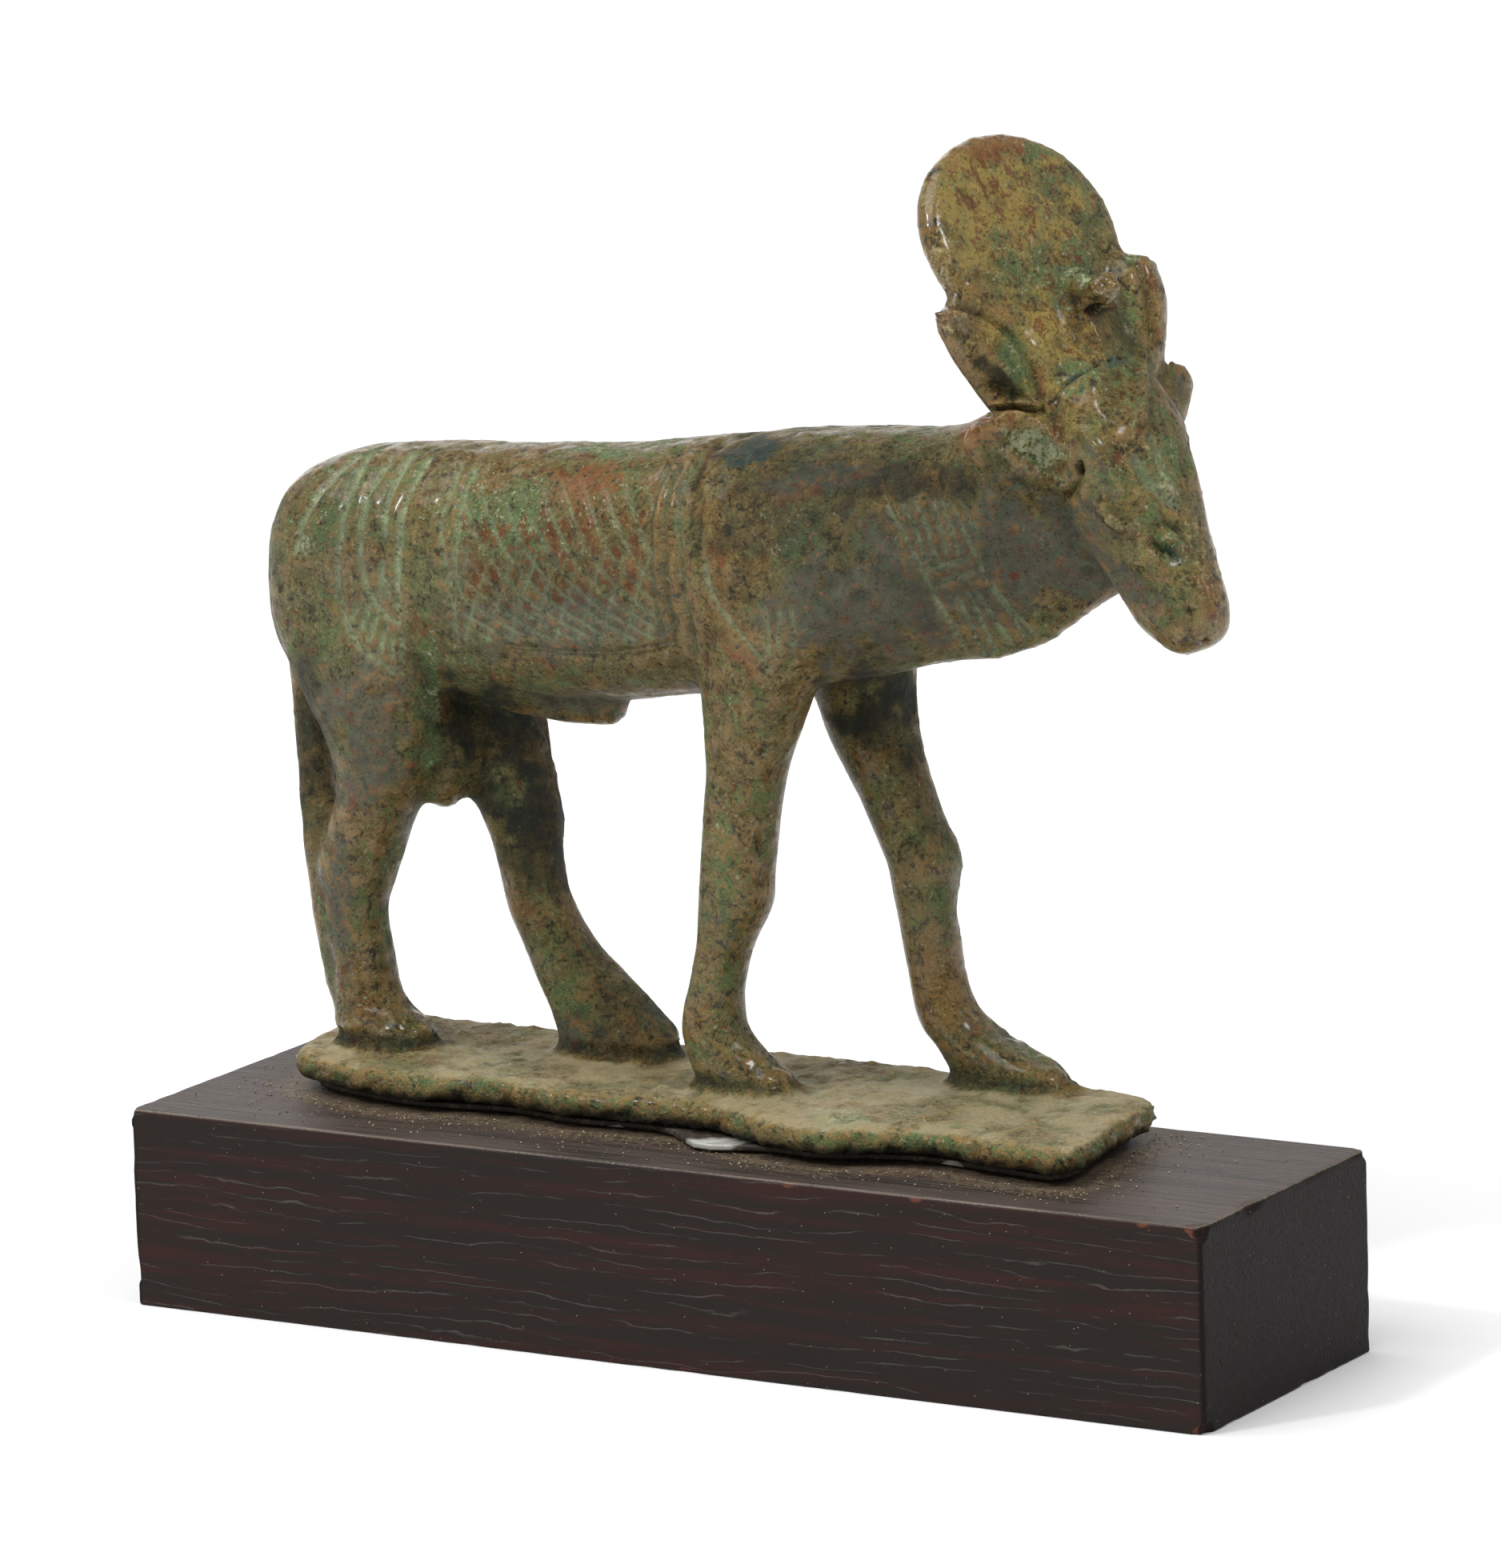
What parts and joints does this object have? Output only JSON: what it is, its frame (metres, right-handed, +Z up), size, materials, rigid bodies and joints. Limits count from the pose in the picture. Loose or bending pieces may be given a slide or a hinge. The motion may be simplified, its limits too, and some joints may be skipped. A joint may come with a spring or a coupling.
{
  "type": "apis bull figure",
  "caption": "Small striding bronze bull with a sun disc between its horns, on a thin cast plinth set on a dark wooden block.",
  "frame": {"origin": "middle of the wooden block's underside", "axes": "+X the way the bull faces, along the block's length; +Z up; the bull's right side toward -Y"},
  "size_m": [0.114, 0.0325, 0.1118],
  "materials": {
    "patinated_bronze": "olive-brown bronze with green and red-brown corrosion, semi-gloss on worn high spots",
    "clear_adhesive": "milky clear adhesive, dusty",
    "dark_wood": "near-black stained hardwood, satin, open pores along its length"
  },
  "bodies": {
    "root": {"apis_bull": "patinated_bronze", "adhesive_bed": "clear_adhesive", "wood_base": "dark_wood"}
  },
  "joints": []
}
